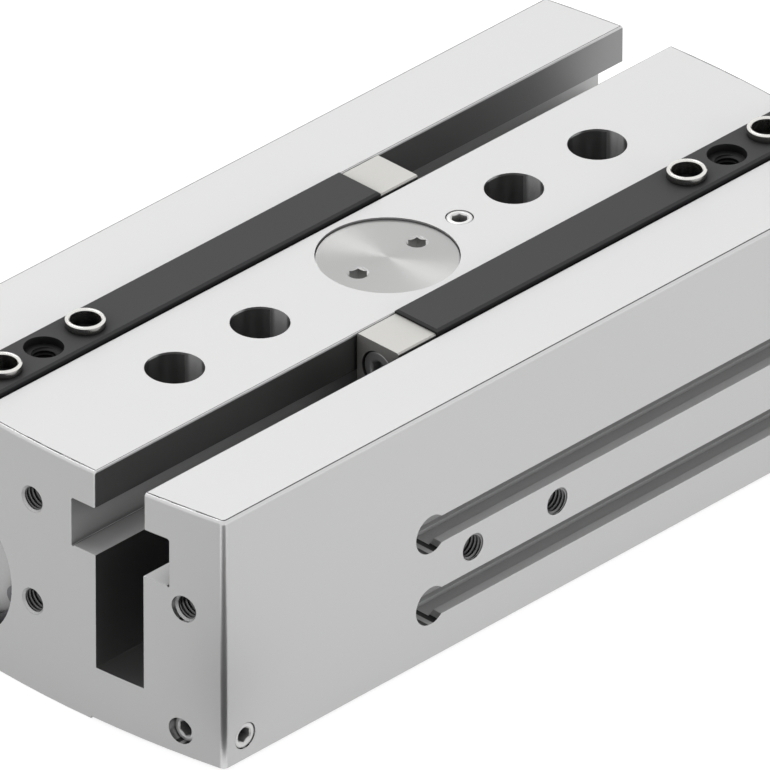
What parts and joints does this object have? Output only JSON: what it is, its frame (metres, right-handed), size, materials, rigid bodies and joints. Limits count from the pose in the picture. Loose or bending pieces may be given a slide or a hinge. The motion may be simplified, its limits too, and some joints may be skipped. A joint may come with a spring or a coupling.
{
  "type": "parallel gripper",
  "caption": "Long-stroke pneumatic parallel gripper: two T-shaped jaws slide apart in a flat aluminium block, coupled by a rack and pinion.",
  "frame": {"origin": "centre of the underside's raised land, below the pinion", "axes": "+X along the stroke, from the left jaw's finger holes towards the right jaw's; +Z from the underside up to the jaws' finger faces"},
  "size_m": [0.1706, 0.082, 0.0519],
  "materials": {
    "anodised_body": "clear anodised, fine blasted",
    "turned_aluminium": "turned",
    "ground_steel": "ground",
    "driver_steel": "nickel plated, satin",
    "hardened_jaw": "dark hard-coated steel",
    "dark_screw": "blackened steel",
    "plated_steel": "zinc plated",
    "spring_steel": "phosphated spring steel",
    "bronze": "sintered bronze",
    "seal_rubber": "matt",
    "guide_plastic": "matt",
    "magnet": "matt"
  },
  "bodies": {
    "housing": {"housing": "anodised_body", "pinion_cover": "turned_aluminium", "pinion_bush_upper": "bronze", "pinion_bush_lower": "bronze", "top_duct_plug": "plated_steel", "end_duct_plugs": "plated_steel", "side_duct_plugs": "plated_steel", "underside_duct_plugs": "plated_steel", "cylinder_cap_left": "turned_aluminium", "cap_o_ring_left": "seal_rubber", "cap_circlip_left": "spring_steel", "rod_guide_left": "turned_aluminium", "rod_seal_left": "seal_rubber", "bumpers_left": "seal_rubber", "cylinder_cap_right": "turned_aluminium", "cap_o_ring_right": "seal_rubber", "cap_circlip_right": "spring_steel", "rod_guide_right": "turned_aluminium", "rod_seal_right": "seal_rubber", "bumpers_right": "seal_rubber"},
    "pinion": {"pinion": "ground_steel", "pinion_shaft": "ground_steel"},
    "jaw_left": {"jaw_left": "hardened_jaw", "centring_sleeves_left": "ground_steel", "driver_left": "driver_steel", "driver_screws_left": "dark_screw", "piston_rod_left": "ground_steel", "piston_left": "turned_aluminium", "piston_seals_left": "seal_rubber", "piston_guide_ring_left": "guide_plastic", "piston_magnet_left": "magnet", "piston_nut_left": "plated_steel"},
    "jaw_right": {"jaw_right": "hardened_jaw", "centring_sleeves_right": "ground_steel", "driver_right": "driver_steel", "driver_screws_right": "dark_screw", "piston_rod_right": "ground_steel", "piston_right": "turned_aluminium", "piston_seals_right": "seal_rubber", "piston_guide_ring_right": "guide_plastic", "piston_magnet_right": "magnet", "piston_nut_right": "plated_steel"}
  },
  "joints": [
    {"name": "jaw_left_slide", "type": "slide", "parent": "housing", "child": "jaw_left", "axis": [1, 0, 0], "range_m": [0, 0.04]},
    {"name": "jaw_right_slide", "type": "slide", "parent": "housing", "child": "jaw_right", "axis": [-1, 0, 0], "range_m": [0, 0.04]},
    {"name": "pinion_spin", "type": "hinge", "parent": "housing", "child": "pinion", "pos_m": [0, 0, 0.0376], "axis": [0, 0, 1], "range_deg": [-229.3, 0]}
  ],
  "couplings": [
    {"joint": "jaw_right_slide", "follows": "jaw_left_slide", "ratio": 1},
    {"joint": "pinion_spin", "follows": "jaw_left_slide", "rad_per_m": -100}
  ]
}
